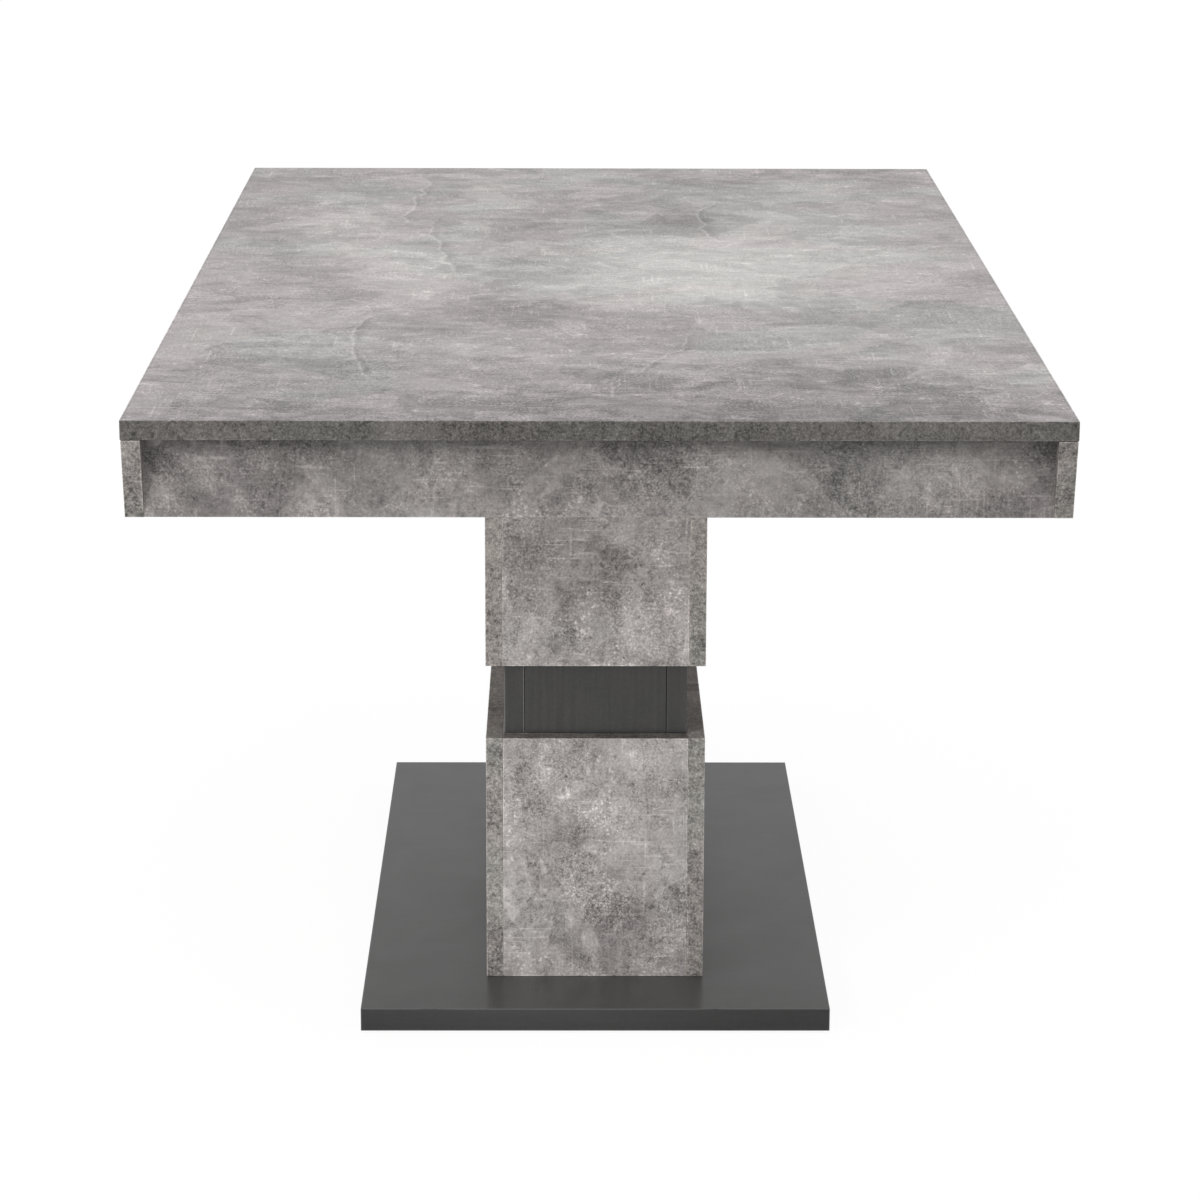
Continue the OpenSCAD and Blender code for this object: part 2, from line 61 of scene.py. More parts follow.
class Surface:
    """One material, with short calls for the shader nodes that it is made of."""

    def __init__(self, name, seed):
        self.material = bpy.data.materials.new(name)
        self.material.use_nodes = True
        self.tree = self.material.node_tree
        self.tree.nodes.clear()
        self.seed = seed
        self.place = self.node("ShaderNodeTexCoord").outputs["Object"]
        self.normal = self.node("ShaderNodeNewGeometry").outputs["True Normal"]

    def node(self, kind, **settings):
        made = self.tree.nodes.new(kind)
        for key, value in settings.items():
            setattr(made, key, value)
        return made

    def feed(self, socket, value):
        """Links another node's output to a socket, or sets a plain value on it."""
        if isinstance(value, bpy.types.NodeSocket):
            self.tree.links.new(value, socket)
        else:
            socket.default_value = value

    def math(self, operation, a, b=0.0):
        made = self.node("ShaderNodeMath", operation=operation)
        self.feed(made.inputs[0], a)
        self.feed(made.inputs[1], b)
        return made.outputs[0]

    def vector(self, operation, a, b=(0.0, 0.0, 0.0)):
        made = self.node("ShaderNodeVectorMath", operation=operation)
        self.feed(made.inputs[0], a)
        self.feed(made.inputs[1], b)
        return made.outputs["Value" if operation in ("LENGTH", "DOT_PRODUCT") else "Vector"]

    def add(self, *values):
        total = values[0]
        for value in values[1:]:
            total = self.math("ADD", total, value)
        return total

    def times(self, a, b):
        return self.math("MULTIPLY", a, b)

    def split(self, vector):
        made = self.node("ShaderNodeSeparateXYZ")
        self.feed(made.inputs[0], vector)
        return made.outputs

    def fade(self, value, low, high, out_low=0.0, out_high=1.0):
        """A smooth step from out_low to out_high as value goes from low to high."""
        made = self.node("ShaderNodeMapRange", interpolation_type="SMOOTHSTEP")
        self.feed(made.inputs["Value"], value)
        limits = {"From Min": low, "From Max": high, "To Min": out_low, "To Max": out_high}
        for name, number in limits.items():
            self.feed(made.inputs[name], number)
        return made.outputs["Result"]

    def mix(self, a, b, share):
        """Colour a turning into colour b."""
        made = self.node("ShaderNodeMix", data_type="RGBA")
        self.feed(made.inputs[0], share)
        self.feed(made.inputs[MIX_FIRST], colour(a))
        self.feed(made.inputs[MIX_SECOND], colour(b))
        return made.outputs[MIX_RESULT]

    def shade(self, tone, value):
        """A colour made lighter or darker by a factor."""
        made = self.node("ShaderNodeVectorMath", operation="SCALE")
        self.feed(made.inputs[0], tone)
        self.feed(made.inputs["Scale"], value)
        return made.outputs["Vector"]

    def mapped(self, stretch=(1.0, 1.0, 1.0), turn=(0.0, 0.0, 0.0), shift=0.0):
        """The place on the object, stretched and turned, with this surface's own offset."""
        made = self.node("ShaderNodeMapping")
        offset = self.seed + shift
        self.feed(made.inputs["Vector"], self.place)
        made.inputs["Location"].default_value = [step * offset for step in PATTERN_STEP]
        made.inputs["Rotation"].default_value = turn
        made.inputs["Scale"].default_value = stretch
        return made.outputs["Vector"]

    def noise(self, scale, detail=3.0, rough=0.55, warp=0.0,
              stretch=(1.0, 1.0, 1.0), turn=(0.0, 0.0, 0.0), shift=0.0):
        """Noise with about scale swings per metre. Each shift gives another pattern."""
        made = self.node("ShaderNodeTexNoise")
        self.feed(made.inputs["Vector"], self.mapped(stretch, turn, shift))
        settings = {"Scale": scale, "Detail": detail, "Roughness": rough, "Distortion": warp}
        for name, number in settings.items():
            made.inputs[name].default_value = number
        return made.outputs["Fac"]

    def spots(self, scale, size, shift=0.0):
        """Small round spots on a jittered lattice, 1 inside and 0 outside."""
        made = self.node("ShaderNodeTexVoronoi")
        self.feed(made.inputs["Vector"], self.mapped(shift=shift))
        made.inputs["Scale"].default_value = scale
        return self.fade(made.outputs["Distance"], size, 0.4 * size)

    def depths(self, corners):
        """How deep a point lies in a box along X, Y and Z, each from the nearer face."""
        low, high = corners
        offset = self.vector("ABSOLUTE", self.vector("SUBTRACT", self.place, (low + high) / 2))
        return self.split(self.vector("SUBTRACT", (high - low) / 2, offset))

    def edge_distance(self, corners):
        """How far a point on a box's face is from the nearest edge: the middle one of its three depths."""
        depth = self.depths(corners)
        smaller = self.math("MINIMUM", depth[0], depth[1])
        larger = self.math("MAXIMUM", depth[0], depth[1])
        return self.math("MAXIMUM", smaller, self.math("MINIMUM", larger, depth[2]))

    def rim_distance(self, corners, axes):
        """How far a point is from the nearest of a box's faces on the given axes."""
        depth = self.depths(corners)
        nearest = depth[AXES.index(axes[0])]
        for axis in axes[1:]:
            nearest = self.math("MINIMUM", nearest, depth[AXES.index(axis)])
        return nearest

    def sharp_edges(self, reach):
        """1 along a sharp edge and 0 on a flat face, from how the rounded normal leaves the true one."""
        made = self.node("ShaderNodeBevel", samples=4)
        made.inputs["Radius"].default_value = reach
        return self.fade(self.vector("DOT_PRODUCT", made.outputs["Normal"], self.normal), 0.98, 0.85)

    def bumped(self, height, distance, strength):
        made = self.node("ShaderNodeBump")
        made.inputs["Strength"].default_value = strength
        made.inputs["Distance"].default_value = distance
        self.feed(made.inputs["Height"], height)
        return made.outputs["Normal"]

    def lighten_edge(self, tone, edge, patchy, amount):
        """A tone that is lighter by an amount where an edge mask and a patchy mask are both 1."""
        return self.shade(tone, self.add(1.0, self.times(self.times(edge, patchy), amount)))

    def finish(self, tone, roughness, normal, **fixed):
        """The shader at the end. What is the same all over is set on its own sockets."""
        shader = self.node("ShaderNodeBsdfPrincipled")
        output = self.node("ShaderNodeOutputMaterial")
        self.feed(shader.inputs["Base Color"], colour(tone))
        self.feed(shader.inputs["Roughness"], roughness)
        self.feed(shader.inputs["Normal"], normal)
        for name, value in fixed.items():
            shader.inputs[name].default_value = value
        self.feed(output.inputs["Surface"], shader.outputs["BSDF"])
        return self.material


def colour(value):
    """A tone of three numbers as the four that a colour socket takes."""
    return value if isinstance(value, bpy.types.NodeSocket) else (*value[:3], 1.0)


# ---- Decors ----

# Linear tones
CONCRETE_GREY = (0.345, 0.322, 0.309)
CONCRETE_COOL = (0.343, 0.322, 0.316)
CONCRETE_MAUVE = (0.350, 0.314, 0.317)
CONCRETE_GREEN = (0.325, 0.322, 0.310)
BAND_GREY = (0.215, 0.198, 0.185)
BAND_GREEN = (0.206, 0.198, 0.182)
ANTHRACITE = (0.053, 0.054, 0.055)
ANTHRACITE_DULL = (0.055, 0.056, 0.054)
ANTHRACITE_WARM = (0.060, 0.056, 0.051)
# The anthracite's edge colour: partly wear, partly painted highlight
ANTHRACITE_WEAR_AND_HIGHLIGHT = (0.17, 0.17, 0.17)
CHIP_DARK = (0.38, 0.25, 0.14)
CHIP_PALE = (0.56, 0.42, 0.26)
CHIP_BARK = (0.24, 0.145, 0.08)
CHIP_DUST = (0.66, 0.53, 0.36)
BEECH_DARK = (0.52, 0.31, 0.15)
BEECH_PALE = (0.68, 0.45, 0.25)
BEECH_FLECK = (0.36, 0.19, 0.09)
BEECH_RUBBED = (0.78, 0.58, 0.36)
ZINC = (0.62, 0.63, 0.64)
ALUMINIUM = (0.72, 0.73, 0.74)
NYLON = (0.78, 0.76, 0.68)
BLACK = (0.020, 0.020, 0.021)
RUBBER = (0.025, 0.024, 0.023)

# What differs between the concrete print on a board that stands and on one that lies. drawn, weave and
# scratch stretch a pattern: a smaller number makes it longer along that axis.
STANDING = SimpleNamespace(
    grey=CONCRETE_GREY, drawn=(1.0, 1.0, 0.8), weave=(420.0, 420.0, 28.0), scratch=(260.0, 260.0, 9.0),
    haze_scale=6.0, patch_detail=8.0, patch_rough=0.68, patch_swing=0.95, mottle_swing=1.1, wander=0.016,
    veins=0.34, splashes=0.40, specks=0.62, ink=-0.34, tint_pull=0.1, tint_share=0.25,
)
LYING = SimpleNamespace(
    grey=CONCRETE_COOL, drawn=(0.95, 1.0, 1.0), weave=(420.0, 28.0, 420.0), scratch=(260.0, 9.0, 260.0),
    haze_scale=3.4, patch_detail=5.0, patch_rough=0.62, patch_swing=1.1, mottle_swing=0.9, wander=0.045,
    veins=0.16, splashes=0.30, specks=0.55, ink=-0.10, tint_pull=0.35, tint_share=0.65,
)

# What differs between the anthracite decor with its grain along Z and with its grain along X
UPRIGHT = SimpleNamespace(
    second=ANTHRACITE_WARM, grain=(240.0, 240.0, 10.0), cloud_scale=9.0,
    clouds=0.30, pores=0.45, streaks=0.55,
)
LEVEL = SimpleNamespace(
    second=ANTHRACITE_DULL, grain=(16.0, 240.0, 240.0), cloud_scale=5.0,
    clouds=0.08, pores=0.30, streaks=0.20,
)

# Scratches of the print in its main directions: stretch, turn in radians, shift and strength
SCRATCHES = (
    ((9.0, 260.0, 260.0), (0.0, 0.25, 0.25), 11.0, 0.32),
    ((14.0, 300.0, 300.0), (0.0, -0.7, -0.7), 13.0, 0.34),
    ((18.0, 260.0, 260.0), (0.0, 0.9, 0.9), 25.0, 0.34),
    ((20.0, 240.0, 240.0), (0.0, 1.3, 1.3), 26.0, 0.34),
)


def centred(s, value, gain):
    """A noise value from 0 to 1 as a swing either side of zero."""
    return s.times(s.math("SUBTRACT", value, 0.5), gain)


def wandering_place(s, reach):
    """The place on the object, pushed about a little, so that outlines drawn with it wander."""
    push = s.node("ShaderNodeTexNoise")
    s.feed(push.inputs["Vector"], s.mapped(shift=20.0))
    push.inputs["Scale"].default_value = 0.9 / reach
    push.inputs["Detail"].default_value = 4.0
    offset = s.vector("SUBTRACT", push.outputs["Color"], (0.5, 0.5, 0.5))
    return s.vector("ADD", s.place, s.vector("MULTIPLY", offset, (2.4 * reach, 2.4 * reach, 2.4 * reach)))


def cloud(s, wandering, corners, spot):
    """One soft cloud at a chosen spot, which runs from -1 to 1 on each of the board's two long axes."""
    across, along, half_across, half_along, swing = spot
    low, high = corners
    centre = (low + high) / 2
    half = (high - low) / 2
    thin = min(range(3), key=lambda axis: half[axis])
    first, second = [axis for axis in range(3) if axis != thin]
    reach = Vector((10.0, 10.0, 10.0))
    reach[first] = half_across * half[first]
    reach[second] = half_along * half[second]
    centre[first] += across * half[first]
    centre[second] += along * half[second]
    far = s.vector("LENGTH", s.vector("DIVIDE", s.vector("SUBTRACT", wandering, centre), reach))
    return s.fade(far, 1.25, 0.2, 0.0, swing)


def ridge(s, start, end, bow, width):
    """A trowel ridge along Y: a thin light line that wanders from start to end, with a dark flank."""
    parts = s.split(s.place)
    share = s.math("DIVIDE", s.math("SUBTRACT", parts[1], start[1]), end[1] - start[1])
    wobble = centred(s, s.noise(9.0, 3.0, 0.5, shift=30.0 + bow), 0.07)
    swell = s.times(s.math("SINE", s.times(share, math.pi)), bow)
    line = s.add(start[0], s.times(share, end[0] - start[0]), swell, wobble)
    off = s.math("SUBTRACT", parts[0], line)
    inside = s.times(s.fade(share, 0.0, 0.25), s.fade(share, 1.0, 0.75))
    light = s.fade(s.math("ABSOLUTE", off), width, 0.0)
    flank = s.times(s.fade(off, 0.0, 0.8 * width), s.fade(off, 4.5 * width, 0.8 * width))
    return s.times(s.math("SUBTRACT", s.times(light, 0.30), s.times(flank, 0.16)), inside)


def outline(s, value, level, width):
    """A thin line where a noise passes a level."""
    return s.fade(s.math("ABSOLUTE", s.math("SUBTRACT", value, level)), width, 0.0)


def scratches(s, stretch, turn, shift, amount):
    """Thin, short light scratches along one direction."""
    lines = s.noise(1.0, 1.5, 0.5, 0.3, stretch, turn, shift)
    where = s.noise(17.0, 2.0, 0.6, 0.0, shift=shift + 1.7)
    return s.times(s.times(s.fade(lines, 0.63, 0.70), s.fade(where, 0.50, 0.62)), amount)


def concrete_layers(s, lie):
    """The noises of the concrete print, from wide to fine, then its weave and where it is rough."""
    return SimpleNamespace(
        haze=s.noise(lie.haze_scale, 3.0, 0.5, 0.6, lie.drawn),
        plates=s.noise(7.5, 5.0, 0.58, 0.9, lie.drawn, shift=6.2),
        patches=s.noise(13.0, lie.patch_detail, lie.patch_rough, 1.2, lie.drawn, shift=2.1),
        veins=s.noise(48.0, 4.0, 0.6, 1.8, shift=22.0),
        mottle=s.noise(60.0, 4.0, 0.7, 0.6, shift=3.3),
        curls=s.noise(120.0, 2.0, 0.6, 1.1, shift=8.8),
        grain=s.noise(330.0, 2.0, 0.65, shift=4.9),
        salt=s.noise(520.0, 1.0, 0.6, shift=7.7),
        weft=s.noise(1.0, 2.0, 0.6, stretch=(28.0, 420.0, 420.0), shift=9.1),
        warp=s.noise(1.0, 2.0, 0.6, stretch=lie.weave, shift=9.9),
        rough=s.fade(s.noise(11.0, 3.0, 0.6, 1.0, shift=5.4), 0.40, 0.60, 0.45, 1.0),
    )


def broad_swings(s, layers, lie, corners, clouds):
    """The widest light and dark of the print: haze alone, or less haze and clouds at chosen spots."""
    if not clouds:
        return centred(s, layers.haze, 0.9)
    wandering = wandering_place(s, lie.wander)
    placed = [cloud(s, wandering, corners, spot) for spot in clouds]
    return s.add(centred(s, layers.haze, 0.45), *placed)


def print_swings(s, layers, lie):
    """The patches, grain and weave of the print, each as a swing either side of zero."""
    swings = s.add(
        centred(s, layers.patches, lie.patch_swing),
        centred(s, s.fade(layers.plates, 0.49, 0.53), 0.20),
        centred(s, layers.mottle, lie.mottle_swing),
        s.times(centred(s, layers.grain, 1.5), layers.rough),
        s.times(s.math("SUBTRACT", s.fade(layers.salt, 0.50, 0.66), 0.25), s.times(layers.rough, 0.42)),
        centred(s, layers.weft, 0.25),
        centred(s, layers.warp, 0.25),
    )
    if lie is LYING:
        wisps = s.noise(1.0, 3.0, 0.6, 0.3, (8.0, 40.0, 8.0), shift=40.0)
        threads = s.noise(1.0, 2.0, 0.6, 0.2, (14.0, 170.0, 14.0), shift=41.0)
        swings = s.add(swings, centred(s, wisps, 0.24), s.times(s.fade(threads, 0.56, 0.66), 0.11))
    return swings


def print_marks(s, layers, lie, ridges):
    """The light and dark marks of the print: thin outlines, scratches, splashes, specks, pits and ink."""
    broken = s.fade(s.noise(21.0, 2.0, 0.6, shift=18.0), 0.48, 0.60)
    speckled = s.fade(s.noise(16.0, 3.0, 0.6, 0.8, shift=15.0), 0.53, 0.64)
    pitted = s.fade(s.noise(14.0, 3.0, 0.6, 0.8, shift=17.0), 0.52, 0.64)
    inky = s.fade(s.noise(15.0, 4.0, 0.6, 0.8, shift=24.0), 0.46, 0.58)
    drops = s.fade(s.noise(190.0, 2.0, 0.6, 0.8, shift=23.0), 0.48, 0.34)
    splashes = s.times(s.fade(layers.mottle, 0.57, 0.66), s.fade(layers.patches, 0.50, 0.58))
    return s.add(
        s.times(s.times(outline(s, layers.plates, 0.51, 0.012), broken), 0.26),
        s.times(s.times(outline(s, layers.patches, 0.54, 0.010), broken), 0.20),
        s.times(s.times(outline(s, layers.curls, 0.50, 0.035), layers.rough), 0.26),
        s.times(s.times(outline(s, layers.veins, 0.50, 0.018), broken), lie.veins),
        scratches(s, lie.scratch, (0.1, 0.1, 0.1), 12.0, 0.32),
        *[scratches(s, *line) for line in SCRATCHES],
        s.times(splashes, lie.splashes),
        s.times(s.times(s.spots(230.0, 0.42, 14.0), speckled), lie.specks),
        s.times(s.times(s.spots(190.0, 0.30, 16.0), pitted), -0.20),
        s.times(s.times(drops, inky), lie.ink),
        *[ridge(s, *line) for line in ridges],
    )


def print_tone(s, lie, broad):
    """The print's grey, drifting to mauve and to green, with its broad light parts greener."""
    drift = s.noise(4.4, 3.0, 0.55, 0.7, lie.drawn, shift=17.0)
    tint = s.math("SUBTRACT", drift, s.times(broad, lie.tint_pull))
    tone = s.mix(lie.grey, CONCRETE_MAUVE, s.fade(tint, 0.49, 0.60, 0.0, lie.tint_share))
    return s.mix(tone, CONCRETE_GREEN, s.fade(tint, 0.48, 0.38, 0.0, lie.tint_share))


def concrete(name, seed, corners, gain=1.0, contrast=1.0, lie=STANDING, clouds=(), ridges=()):
    """Melamine with a cloudy, trowelled concrete print. lie is STANDING or LYING."""
    s = Surface(name, seed)
    layers = concrete_layers(s, lie)
    broad = broad_swings(s, layers, lie, corners, clouds)
    swings = s.add(broad, print_swings(s, layers, lie), print_marks(s, layers, lie, ridges))
    value = s.math("MAXIMUM", s.add(0.94, s.times(swings, contrast)), 0.3)
    tone = s.shade(print_tone(s, lie, broad), s.times(value, gain))
    # Edges lighter: partly wear, partly painted highlight on the rounded edges
    edge = s.fade(s.edge_distance(corners), 1.5 * MM, 0.7 * MM)
    tone = s.lighten_edge(tone, edge, s.fade(layers.mottle, 0.25, 0.45), 0.30)
    roughness = s.fade(layers.mottle, 0.2, 0.8, 0.44, 0.62)
    height = s.add(s.times(layers.grain, 0.5), s.times(layers.mottle, 0.5))
    return s.finish(tone, roughness, s.bumped(height, 0.12 * MM, 0.6), IOR=1.5)


def band(name, seed, corners, axes="xz", gain=1.0, clouds=()):
    """Edge band with a finer print than the board's. Its edges on the given axes are made lighter, partly
    as wear and partly as painted highlight.
    """
    s = Surface(name, seed)
    haze = s.noise(11.0, 4.0, 0.6, 0.6)
    mottle = s.noise(48.0, 3.0, 0.6, 0.4, shift=1.0)
    grain = s.noise(330.0, 2.5, 0.7, shift=3.0)
    flecks = s.noise(170.0, 2.0, 0.6, shift=5.0)
    salt = s.noise(520.0, 1.0, 0.6, shift=7.7)
    curls = s.noise(120.0, 2.0, 0.6, 1.1, shift=8.8)
    value = s.add(
        0.88,
        centred(s, haze, 1.3),
        centred(s, mottle, 1.0),
        centred(s, grain, 2.0),
        centred(s, flecks, 1.5),
        s.times(s.fade(salt, 0.50, 0.66), 0.50),
        s.times(outline(s, curls, 0.50, 0.035), 0.28),
        s.times(s.spots(210.0, 0.30, 9.0), 0.22),
        *[cloud(s, s.place, corners, spot) for spot in clouds],
    )
    tint = s.noise(7.0, 2.0, 0.5, shift=7.0)
    tone = s.mix(BAND_GREY, BAND_GREEN, s.fade(tint, 0.45, 0.65))
    tone = s.shade(tone, s.times(s.math("MAXIMUM", value, 0.3), gain))
    # Edges lighter: partly wear, partly painted highlight on the rounded edges
    edge = s.fade(s.rim_distance(corners, axes), 1.3 * MM, 0.6 * MM)
    tone = s.lighten_edge(tone, edge, s.fade(mottle, 0.25, 0.50), 0.35)
    return s.finish(tone, s.fade(grain, 0.2, 0.8, 0.40, 0.55), s.bumped(grain, 0.08 * MM, 0.5), IOR=1.5)


def anthracite(name, seed, corners, lie=LEVEL, lightened=0.5):
    """Dark satin melamine with a faint pressed grain.

    lie is UPRIGHT or LEVEL. The last argument is how far the edges are lightened, partly as wear and
    partly as painted highlight.
    """
    s = Surface(name, seed)
    clouds = s.noise(lie.cloud_scale, 3.0, 0.5, 0.4)
    pores = s.noise(300.0, 2.0, 0.6, shift=2.0)
    streaks = s.noise(1.0, 2.0, 0.5, stretch=lie.grain, shift=4.0)
    smears = s.noise(14.0, 4.0, 0.6, 1.0, shift=6.0)
    value = s.add(
        1.0,
        centred(s, clouds, lie.clouds),
        centred(s, pores, lie.pores),
        centred(s, streaks, lie.streaks),
    )
    # Painted shade: upright boards get darker towards their top and bottom ends, as contact shade where
    # they meet the parts above and below
    if lie is UPRIGHT:
        value = s.times(value, s.fade(s.rim_distance(corners, "z"), 0.0, 7.0 * MM, 0.78, 1.0))
    tone = s.shade(s.mix(ANTHRACITE, lie.second, clouds), value)
    # Edges lighter: partly wear, partly painted highlight on the rounded edges
    lighter_edges = s.times(s.fade(s.edge_distance(corners), 1.6 * MM, 0.5 * MM), s.fade(smears, 0.30, 0.5))
    tone = s.mix(tone, ANTHRACITE_WEAR_AND_HIGHLIGHT, s.times(lighter_edges, lightened))
    roughness = s.fade(smears, 0.2, 0.8, 0.32, 0.36)
    return s.finish(tone, roughness, s.bumped(s.add(pores, streaks), 0.05 * MM, 0.5), IOR=1.6)


def flakes(s, scale, stretch):
    """Three random values for each flake of a pressed board."""
    cells = s.node("ShaderNodeTexVoronoi")
    s.feed(cells.inputs["Vector"], s.mapped(stretch, shift=scale))
    cells.inputs["Scale"].default_value = scale
    return s.split(cells.outputs["Color"])


def chipboard(name, seed):
    """Raw chipboard: pressed flakes of several wood tones."""
    s = Surface(name, seed)
    chips = flakes(s, 330.0, (1.0, 0.40, 1.0))
    dust = flakes(s, 560.0, (0.45, 1.0, 1.0))
    clouds = s.noise(9.0, 3.0, 0.6)
    fibres = s.noise(700.0, 2.0, 0.6, shift=3.0)
    tone = s.mix(CHIP_DARK, CHIP_PALE, s.add(s.times(chips[0], 0.5), s.times(dust[0], 0.5)))
    tone = s.mix(tone, CHIP_BARK, s.times(s.fade(chips[1], 0.88, 0.95), 0.8))
    tone = s.mix(tone, CHIP_DUST, s.times(s.fade(dust[1], 0.85, 0.95), 0.7))
    tone = s.shade(tone, s.fade(fibres, 0.2, 0.8, 0.88, 1.10))
    tone = s.shade(tone, s.fade(clouds, 0.2, 0.8, 0.85, 1.1))
    tone = s.lighten_edge(tone, s.sharp_edges(1.2 * MM), chips[1], 0.45)
    return s.finish(tone, 0.78, s.bumped(chips[2], 0.2 * MM, 0.5), IOR=1.45)


def beech(name, seed, along):
    """Planed beech, with fine grain and short flecks along its length."""
    s = Surface(name, seed)
    stretch = [1.0 if axis == along else 14.0 for axis in AXES]
    grain = s.noise(9.0, 5.0, 0.6, 0.3, stretch)
    flecks = s.noise(60.0, 2.0, 0.5, 0.0, stretch, shift=2.0)
    tone = s.mix(BEECH_DARK, BEECH_PALE, s.fade(grain, 0.3, 0.7))
    tone = s.mix(tone, BEECH_FLECK, s.times(s.fade(flecks, 0.60, 0.70), 0.6))
    lighter_edges = s.times(s.sharp_edges(1.2 * MM), s.fade(grain, 0.35, 0.6))
    tone = s.mix(tone, BEECH_RUBBED, s.times(lighter_edges, 0.6))
    roughness = s.fade(grain, 0.3, 0.7, 0.46, 0.58)
    return s.finish(tone, roughness, s.bumped(s.add(grain, flecks), 0.1 * MM, 0.5), IOR=1.45)


def metal(name, seed, tone, roughness, brushed=(500.0, 500.0, 500.0)):
    """Bright metal with a fine brushed or grainy surface, dull patches and rubbed edges."""
    s = Surface(name, seed)
    lines = s.noise(1.0, 2.0, 0.6, stretch=brushed)
    dull = s.noise(25.0, 4.0, 0.6, 0.5, shift=2.0)
    shaded = s.mix(tone, [0.8 * part for part in tone], s.fade(dull, 0.45, 0.75))
    shaded = s.shade(shaded, s.fade(lines, 0.2, 0.8, 0.94, 1.05))
    shaded = s.lighten_edge(shaded, s.sharp_edges(0.5 * MM), s.fade(dull, 0.35, 0.6), 0.22)
    rough = s.fade(s.add(dull, s.times(lines, 0.3)), 0.3, 0.95, roughness, roughness + 0.18)
    return s.finish(shaded, rough, s.bumped(lines, 0.03 * MM, 0.4), Metallic=1.0)


def plastic(name, seed, tone, roughness):
    """Moulded plastic with a fine texture and rubbed edges."""
    s = Surface(name, seed)
    fine = s.noise(900.0, 2.0, 0.6)
    clouds = s.noise(35.0, 3.0, 0.6, shift=3.0)
    uneven = s.mix(tone, [0.92 * part for part in tone], s.noise(60.0, 2.0, 0.5, shift=9.0))
    lighter_edges = s.times(s.times(s.sharp_edges(0.4 * MM), s.fade(clouds, 0.40, 0.60)), 0.30)
    shaded = s.shade(uneven, s.add(s.fade(clouds, 0.2, 0.8, 0.90, 1.08), lighter_edges))
    rough = s.fade(clouds, 0.2, 0.8, roughness - 0.06, roughness + 0.08)
    return s.finish(shaded, rough, s.bumped(fine, 0.05 * MM, 0.5), IOR=1.5)


# ---- Finishes on the CAD nodes ----

WELD_REACH = 0.01 * MM
SHARP_ANGLE = 40  # degrees

# How wide each kind of edge is rounded
BOARD_ROUND = 0.8 * MM
CORE_ROUND = 1.2 * MM
BAND_ROUND = 0.5 * MM
BEECH_ROUND = 1.0 * MM
FITTING_ROUND = 0.3 * MM


def rounded(name, width, segments=3):
    """Rounds a node's sharp edges a little, as real boards and fittings have them."""
    node = NODES[name]
    weld = node.modifiers.new("weld", "WELD")
    weld.merge_threshold = WELD_REACH
    bevel = node.modifiers.new("round_edges", "BEVEL")
    bevel.width = width
    bevel.segments = segments
    bevel.limit_method = "ANGLE"
    bevel.angle_limit = math.radians(SHARP_ANGLE)
    bevel.harden_normals = True


def dress(name, *materials, pick=None):
    """Puts materials in a node's slots. pick gives a face's slot from its normal."""
    mesh = NODES[name].data
    mesh.materials.clear()
    for material in materials:
        mesh.materials.append(material)
    for face in mesh.polygons:
        face.material_index = pick(face.normal) if pick else 0


def dress_all(names, material):
    """Puts one material on several nodes."""
    for name in names:
        dress(name, material)


def edges_of(axis):
    """Picks slot 1 for a board's edges and slot 0 for its two faces, which look along the axis."""
    return lambda normal: 0 if abs(normal[AXES.index(axis)]) > 0.5 else 1


def ends_along_y(normal):
    """Picks slot 1 for the ends that look along Y and slot 0 for all else."""
    return 1 if abs(normal.y) > 0.8 else 0


# Clouds of the print at chosen spots, each as across, along, half width, half length and swing. Two of the
# end panel's spots are painted shade, not print.
LOWER_FRONT_CLOUDS = (
    (0.45, 0.82, 0.75, 0.16, 0.22), (-0.10, 0.45, 0.50, 0.22, 0.20), (-0.15, 0.18, 0.34, 0.24, -0.14),
    (0.05, -0.12, 0.60, 0.16, -0.14), (-0.92, -0.35, 0.10, 0.28, 0.42), (0.05, -0.55, 1.10, 0.44, -0.20),
    (0.62, 0.45, 0.20, 0.16, -0.14), (0.70, -0.62, 0.36, 0.14, 0.12),
)
UPPER_FRONT_CLOUDS = (
    (0.55, 0.55, 0.42, 0.55, 0.20), (-0.72, -0.10, 0.26, 0.26, -0.20), (-0.30, -0.62, 0.20, 0.40, -0.22),
    (0.15, -0.30, 0.30, 0.36, -0.18), (-0.70, -0.62, 0.36, 0.34, 0.18), (0.60, -0.70, 0.50, 0.28, 0.16),
    (-0.75, 0.55, 0.28, 0.30, 0.12), (0.72, 0.05, 0.20, 0.60, 0.10),
)
